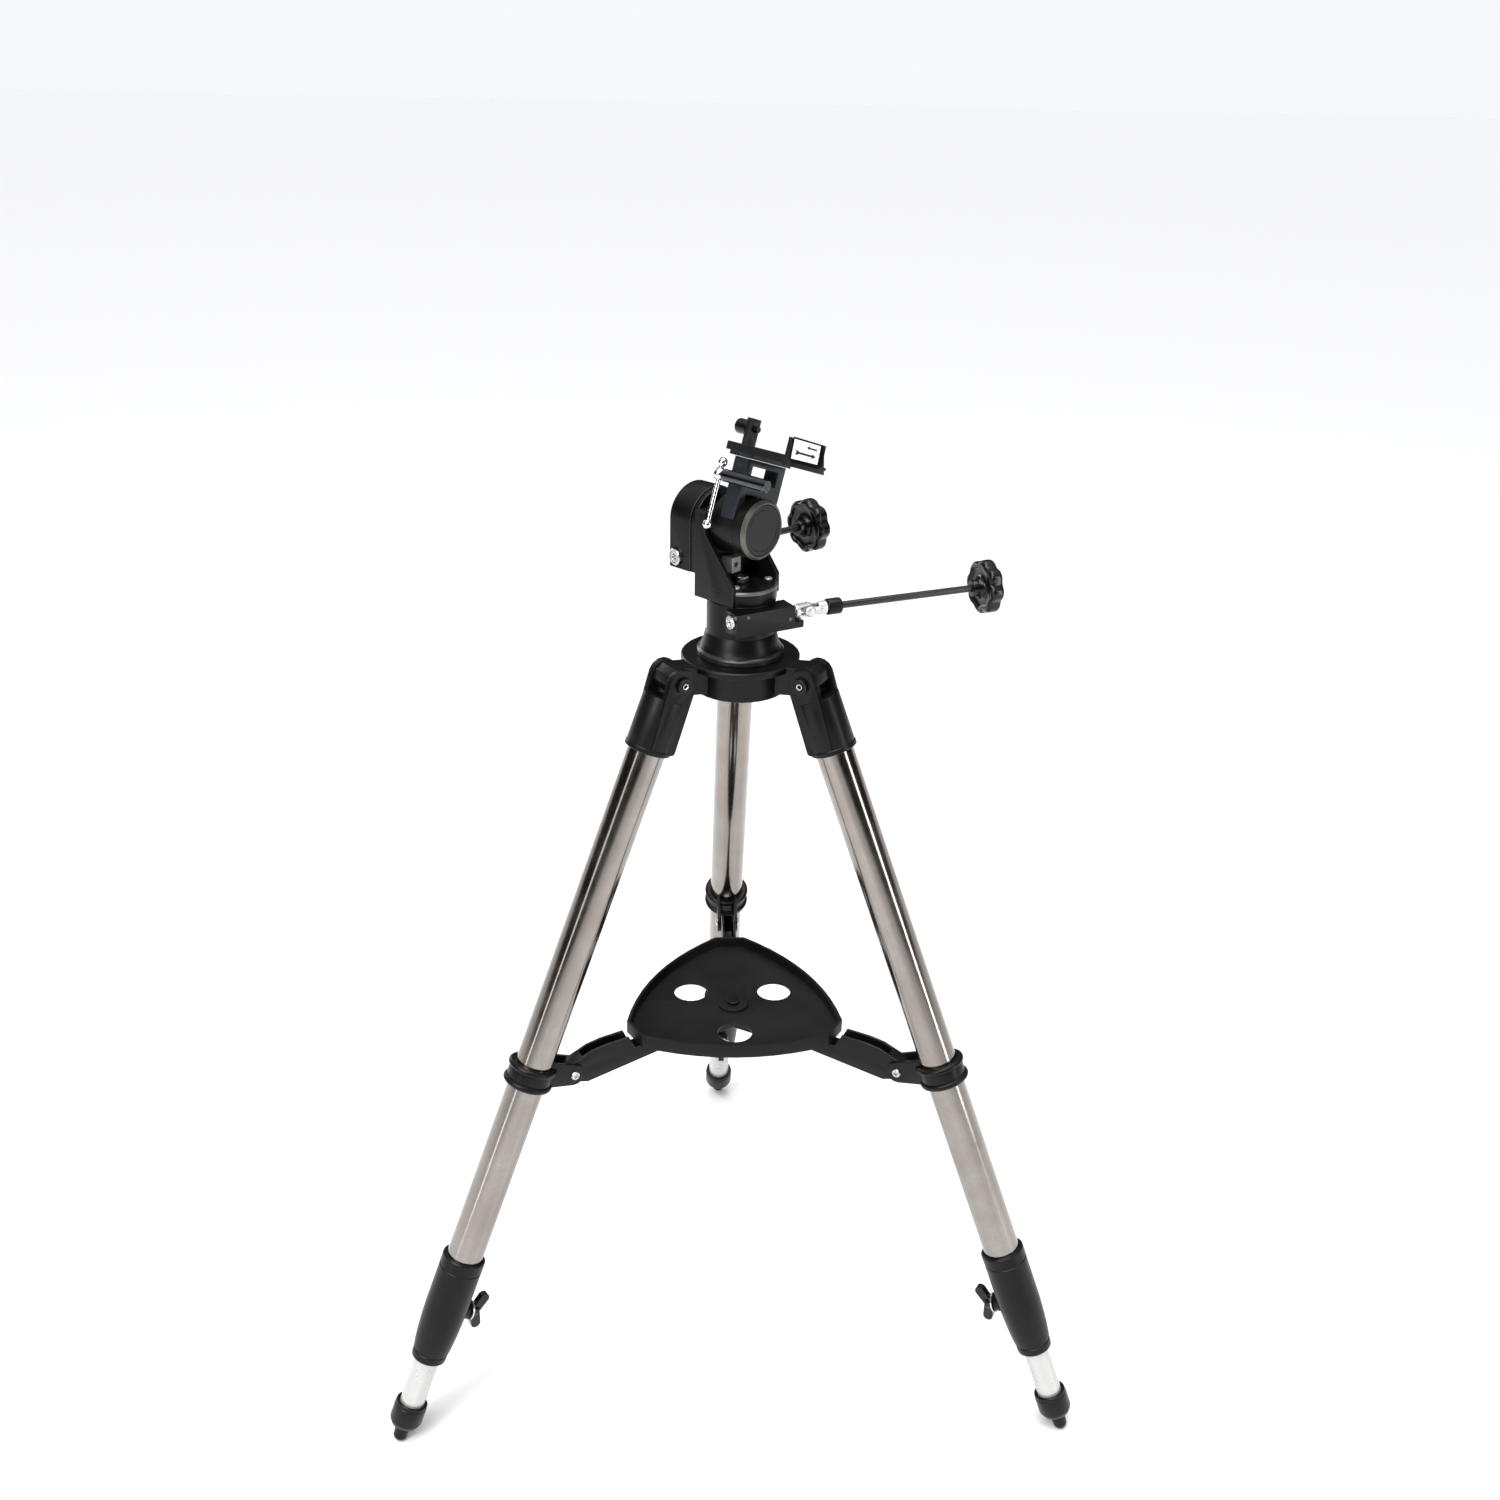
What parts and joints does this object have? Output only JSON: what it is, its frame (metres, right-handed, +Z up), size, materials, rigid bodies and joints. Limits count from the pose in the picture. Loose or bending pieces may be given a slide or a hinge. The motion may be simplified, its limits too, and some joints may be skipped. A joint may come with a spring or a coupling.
{
  "type": "alt azimuth telescope mount",
  "caption": "Alt-azimuth telescope mount with worm drives, a knob on a jointed rod and an empty tilting saddle, on a folding tripod with telescoping legs and a tray.",
  "frame": {"origin": "centre of the footprint box, on the floor under the feet", "axes": "+Z up along the azimuth axis, +Y towards the back leg, +X to the right of the tripod seen from the front"},
  "size_m": [0.6158, 0.5372, 0.8855],
  "materials": {
    "black_metal": "satin black paint on a casting",
    "black_plastic": "fine matte texture",
    "gloss_black": "polished black",
    "dark_steel": "dark bright-turned steel",
    "steel_tube": "polished tube",
    "satin_steel": "satin",
    "chrome": "bright plate",
    "brass": "machined",
    "grey_metal": "cast, bare"
  },
  "bodies": {
    "tripod_hub": {"tripod_hub": "black_metal", "head_bolt": "satin_steel", "pedestal": "black_metal", "azimuth_worm_case": "black_metal", "azimuth_end_plug": "satin_steel", "leg_pivot_bolt_1": "black_metal", "leg_pivot_bolt_2": "black_metal", "leg_pivot_bolt_3": "black_metal"},
    "azimuth_wheel": {"azimuth_wheel": "brass"},
    "azimuth_worm": {"azimuth_worm": "satin_steel", "worm_yoke": "chrome"},
    "coupling_cross": {"coupling_cross": "dark_steel"},
    "control_rod": {"rod_yoke": "black_plastic", "control_rod": "dark_steel", "azimuth_knob": "gloss_black"},
    "head": {"head_bracket": "black_metal", "centre_bolt": "satin_steel", "stop_block": "grey_metal", "altitude_case": "black_metal", "altitude_case_base": "black_metal", "altitude_end_plug": "satin_steel"},
    "altitude_worm": {"altitude_worm": "satin_steel", "altitude_knob": "gloss_black"},
    "saddle_arm": {"altitude_wheel": "brass", "altitude_axle": "satin_steel", "altitude_drum": "black_metal", "altitude_cap": "black_plastic", "saddle_arm": "black_metal", "clamp_barrel": "dark_steel", "saddle": "black_metal", "direction_plate": "black_plastic"},
    "tommy_screw": {"tommy_screw": "chrome"},
    "tommy_bar": {"tommy_bar": "chrome"},
    "saddle_clamp": {"saddle_clamp_knob": "gloss_black"},
    "leg_1": {"leg_bracket_1": "black_plastic", "leg_tube_1": "steel_tube", "leg_sleeve_1": "black_plastic", "spreader_collar_1": "black_plastic"},
    "lower_leg_1": {"lower_tube_1": "satin_steel", "foot_1": "black_plastic"},
    "wing_1": {"wing_screw_1": "gloss_black"},
    "arm_1": {"spreader_arm_1": "black_metal"},
    "leg_2": {"leg_bracket_2": "black_plastic", "leg_tube_2": "steel_tube", "leg_sleeve_2": "black_plastic", "spreader_collar_2": "black_plastic"},
    "lower_leg_2": {"lower_tube_2": "satin_steel", "foot_2": "black_plastic"},
    "wing_2": {"wing_screw_2": "gloss_black"},
    "arm_2": {"spreader_arm_2": "black_metal"},
    "leg_3": {"leg_bracket_3": "black_plastic", "leg_tube_3": "steel_tube", "leg_sleeve_3": "black_plastic", "spreader_collar_3": "black_plastic"},
    "lower_leg_3": {"lower_tube_3": "satin_steel", "foot_3": "black_plastic"},
    "wing_3": {"wing_screw_3": "gloss_black"},
    "arm_3": {"spreader_arm_3": "black_metal"},
    "tray": {"tray": "black_plastic", "spreader_hub": "black_metal"}
  },
  "joints": [
    {"name": "azimuth_drive", "type": "hinge", "parent": "tripod_hub", "child": "azimuth_wheel", "pos_m": [0, -0.08455, 0.7333], "axis": [0, 0, 1], "continuous": true},
    {"name": "azimuth_worm_spin", "type": "hinge", "parent": "tripod_hub", "child": "azimuth_worm", "pos_m": [0.01258, -0.10979, 0.7333], "axis": [0.8949, 0.4462, 0], "continuous": true},
    {"name": "coupling_swing", "type": "hinge", "parent": "azimuth_worm", "child": "coupling_cross", "pos_m": [0.0542, -0.08904, 0.7333], "axis": [0, 0, 1], "range_deg": [-24, 28]},
    {"name": "coupling_nod", "type": "hinge", "parent": "coupling_cross", "child": "control_rod", "pos_m": [0.0542, -0.08904, 0.7333], "axis": [-0.3486, 0.9373, 0], "range_deg": [-24, 24]},
    {"name": "azimuth_slew", "type": "hinge", "parent": "azimuth_wheel", "child": "head", "pos_m": [0, -0.08455, 0.7333], "axis": [0, 0, 1], "continuous": true},
    {"name": "altitude_tilt", "type": "hinge", "parent": "head", "child": "saddle_arm", "pos_m": [0, -0.08455, 0.8033], "axis": [-0.7193, 0.6947, 0], "range_deg": [-20, 54]},
    {"name": "altitude_worm_spin", "type": "hinge", "parent": "head", "child": "altitude_worm", "pos_m": [-0.03072, -0.05489, 0.77235], "axis": [0.7965, 0.6046, 0], "range_deg": [-960, 2592]},
    {"name": "tommy_turn", "type": "hinge", "parent": "saddle_arm", "child": "tommy_screw", "pos_m": [-0.01941, -0.09227, 0.84747], "axis": [0.7193, -0.6947, 0], "range_deg": [-170, 5]},
    {"name": "tommy_slide", "type": "slide", "parent": "tommy_screw", "child": "tommy_bar", "axis": [0.2376, 0.246, 0.9397], "range_m": [0, 0.031]},
    {"name": "saddle_clamp_turn", "type": "hinge", "parent": "saddle_arm", "child": "saddle_clamp", "pos_m": [0.00602, -0.04377, 0.87198], "axis": [0.7193, -0.6947, 0], "range_deg": [-1080, 1080]},
    {"name": "leg_fold_1", "type": "hinge", "parent": "tripod_hub", "child": "leg_1", "pos_m": [0, -0.01955, 0.6833], "axis": [-1, 0, 0], "range_deg": [0, 7]},
    {"name": "leg_slide_1", "type": "slide", "parent": "leg_1", "child": "lower_leg_1", "axis": [0, 0.383, -0.9237], "range_m": [-0.04, 0.26]},
    {"name": "wing_turn_1", "type": "hinge", "parent": "leg_1", "child": "wing_1", "pos_m": [0, 0.21179, 0.12535], "axis": [0, 0.9237, 0.383], "range_deg": [-720, 360]},
    {"name": "arm_swing_1", "type": "hinge", "parent": "leg_1", "child": "arm_1", "pos_m": [0, 0.08245, 0.3356], "axis": [-1, 0, 0], "range_deg": [0, 38.7]},
    {"name": "leg_fold_2", "type": "hinge", "parent": "tripod_hub", "child": "leg_2", "pos_m": [-0.05629, -0.11705, 0.6833], "axis": [0.5, -0.866, 0], "range_deg": [0, 7]},
    {"name": "leg_slide_2", "type": "slide", "parent": "leg_2", "child": "lower_leg_2", "axis": [-0.3317, -0.1915, -0.9237], "range_m": [-0.04, 0.26]},
    {"name": "wing_turn_2", "type": "hinge", "parent": "leg_2", "child": "wing_2", "pos_m": [-0.25663, -0.23272, 0.12535], "axis": [-0.8, -0.4619, 0.383], "range_deg": [-720, 360]},
    {"name": "arm_swing_2", "type": "hinge", "parent": "leg_2", "child": "arm_2", "pos_m": [-0.14463, -0.16805, 0.3356], "axis": [0.5, -0.866, 0], "range_deg": [0, 38.7]},
    {"name": "leg_fold_3", "type": "hinge", "parent": "tripod_hub", "child": "leg_3", "pos_m": [0.05629, -0.11705, 0.6833], "axis": [0.5, 0.866, 0], "range_deg": [0, 7]},
    {"name": "leg_slide_3", "type": "slide", "parent": "leg_3", "child": "lower_leg_3", "axis": [0.3317, -0.1915, -0.9237], "range_m": [-0.04, 0.26]},
    {"name": "wing_turn_3", "type": "hinge", "parent": "leg_3", "child": "wing_3", "pos_m": [0.25663, -0.23272, 0.12535], "axis": [0.8, -0.4619, 0.383], "range_deg": [-720, 360]},
    {"name": "arm_swing_3", "type": "hinge", "parent": "leg_3", "child": "arm_3", "pos_m": [0.14463, -0.16805, 0.3356], "axis": [0.5, 0.866, 0], "range_deg": [0, 38.7]},
    {"name": "tray_lift", "type": "slide", "parent": "tripod_hub", "child": "tray", "axis": [0, 0, 1], "range_m": [0, 0.0925]}
  ],
  "couplings": [
    {"joint": "azimuth_drive", "follows": "azimuth_worm_spin", "ratio": -0.020833},
    {"joint": "altitude_worm_spin", "follows": "altitude_tilt", "ratio": 48},
    {"joint": "leg_fold_2", "follows": "leg_fold_1", "ratio": 1},
    {"joint": "leg_fold_3", "follows": "leg_fold_1", "ratio": 1},
    {"joint": "arm_swing_1", "follows": "leg_fold_1", "ratio": 5.516},
    {"joint": "arm_swing_2", "follows": "leg_fold_1", "ratio": 5.516},
    {"joint": "arm_swing_3", "follows": "leg_fold_1", "ratio": 5.516},
    {"joint": "tray_lift", "follows": "leg_fold_1", "m_per_rad": 0.755}
  ]
}
